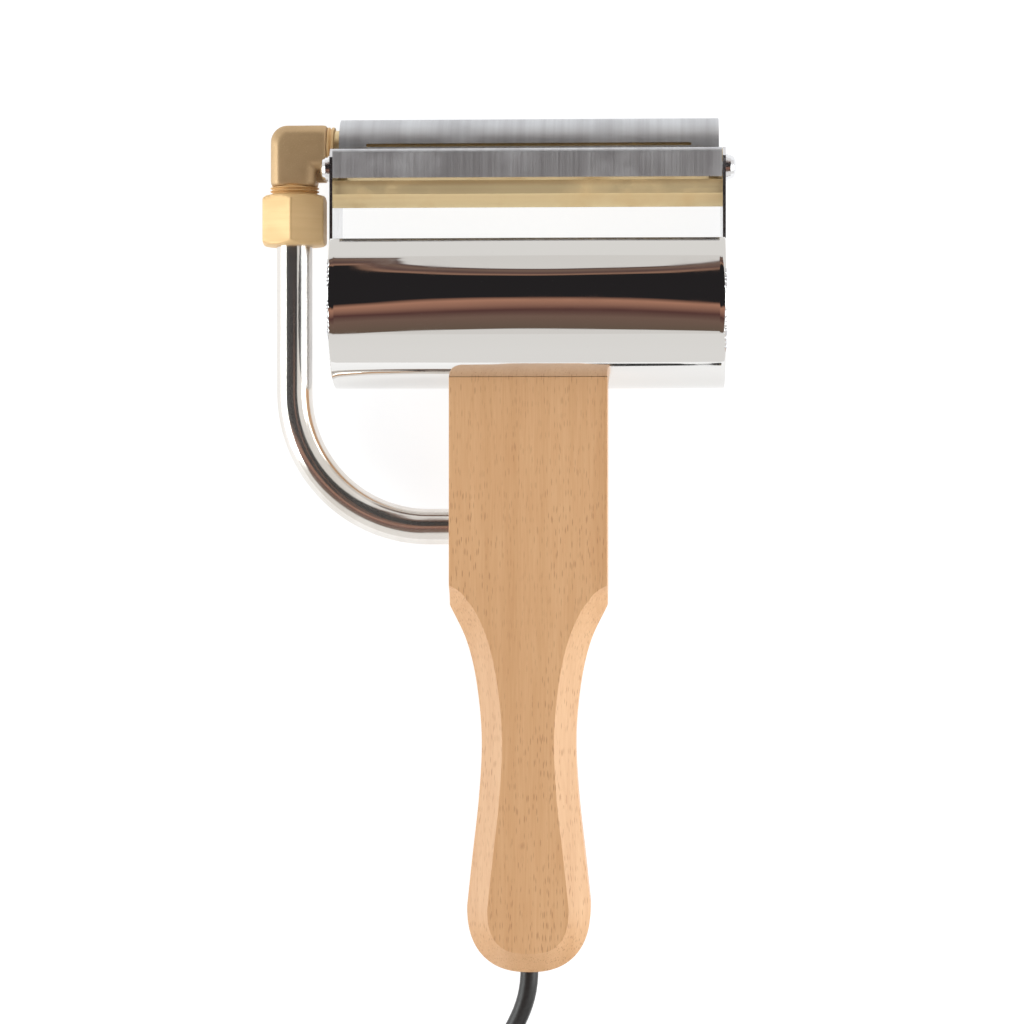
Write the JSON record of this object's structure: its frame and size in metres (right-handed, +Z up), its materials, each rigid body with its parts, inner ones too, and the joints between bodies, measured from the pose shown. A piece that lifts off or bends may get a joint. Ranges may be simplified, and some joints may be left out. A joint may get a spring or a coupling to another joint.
{
  "type": "heated honey uncapping plane",
  "caption": "Electrically heated uncapping plane: brass blade bar, adjustable depth plate, slotted heat shield, polished hood, bent conduit, beech handle and mains cord.",
  "frame": {"origin": "on the handle's flat back, on its centre line, level with the bore where the conduit enters", "axes": "+Y along the handle towards the head, +Z up from the surface the tool lies on, +X towards the free end of the blade bar"},
  "size_m": [0.1796, 0.4112, 0.043],
  "materials": {
    "mirror_steel": "mirror polished stainless sheet",
    "plate_steel": "bright stainless sheet",
    "brushed_sheet": "brushed stainless sheet",
    "screw_steel": "bright fastener steel",
    "tube_steel": "polished stainless tube",
    "blade_brass": "milled brass with heat bloom",
    "forged_brass": "sand-blasted forging",
    "machined_brass": "turned brass",
    "beech": "sanded and oiled beech",
    "ceramic": "white insulator",
    "wire_brown": "wire insulation",
    "wire_blue": "wire insulation",
    "wire_green": "wire insulation",
    "cord_rubber": "matt black sheath",
    "tie_fabric": "hook-and-loop strap",
    "plug_plastic": "moulded plug",
    "plug_metal": "plug pins"
  },
  "bodies": {
    "head": {"hood_shell": "mirror_steel", "left_side_plate": "plate_steel", "right_side_plate": "plate_steel", "depth_screw_washers": "screw_steel", "heater_shield": "brushed_sheet", "shield_spacers": "blade_brass", "brass_blade_bar": "blade_brass", "blade_dowel_pins": "screw_steel", "cartridge_heater": "plate_steel", "heater_bush": "ceramic", "brass_elbow": "forged_brass", "elbow_collar": "machined_brass", "compression_nut": "machined_brass", "compression_ferrule": "machined_brass", "conduit_tube": "tube_steel", "handle": "beech", "handle_screws": "screw_steel", "live_wire": "wire_brown", "neutral_wire": "wire_blue", "earth_wire": "wire_green", "splice_sleeves": "ceramic", "cord_stop_collar": "screw_steel", "power_cord_lead": "cord_rubber", "power_cord_coil": "cord_rubber", "power_cord_tail": "cord_rubber", "coil_tie": "tie_fabric", "plug_body": "plug_plastic", "plug_blades": "plug_metal", "plug_earth_pin": "plug_metal"},
    "depth_shoe": {"depth_plate": "brushed_sheet", "depth_screw_nuts": "screw_steel"},
    "left_screw": {"left_depth_screw": "screw_steel"},
    "right_screw": {"right_depth_screw": "screw_steel"}
  },
  "joints": [
    {"name": "depth_swing", "type": "hinge", "parent": "head", "child": "depth_shoe", "pos_m": [0, 0.1182, 0.029], "axis": [1, 0, 0], "range_deg": [-6, 12]},
    {"name": "left_screw_turn", "type": "hinge", "parent": "head", "child": "left_screw", "pos_m": [-0.066, 0.1182, 0.029], "axis": [-1, 0, 0], "range_deg": [0, 180]},
    {"name": "right_screw_turn", "type": "hinge", "parent": "head", "child": "right_screw", "pos_m": [0.066, 0.1182, 0.029], "axis": [1, 0, 0], "range_deg": [0, 180]}
  ]
}
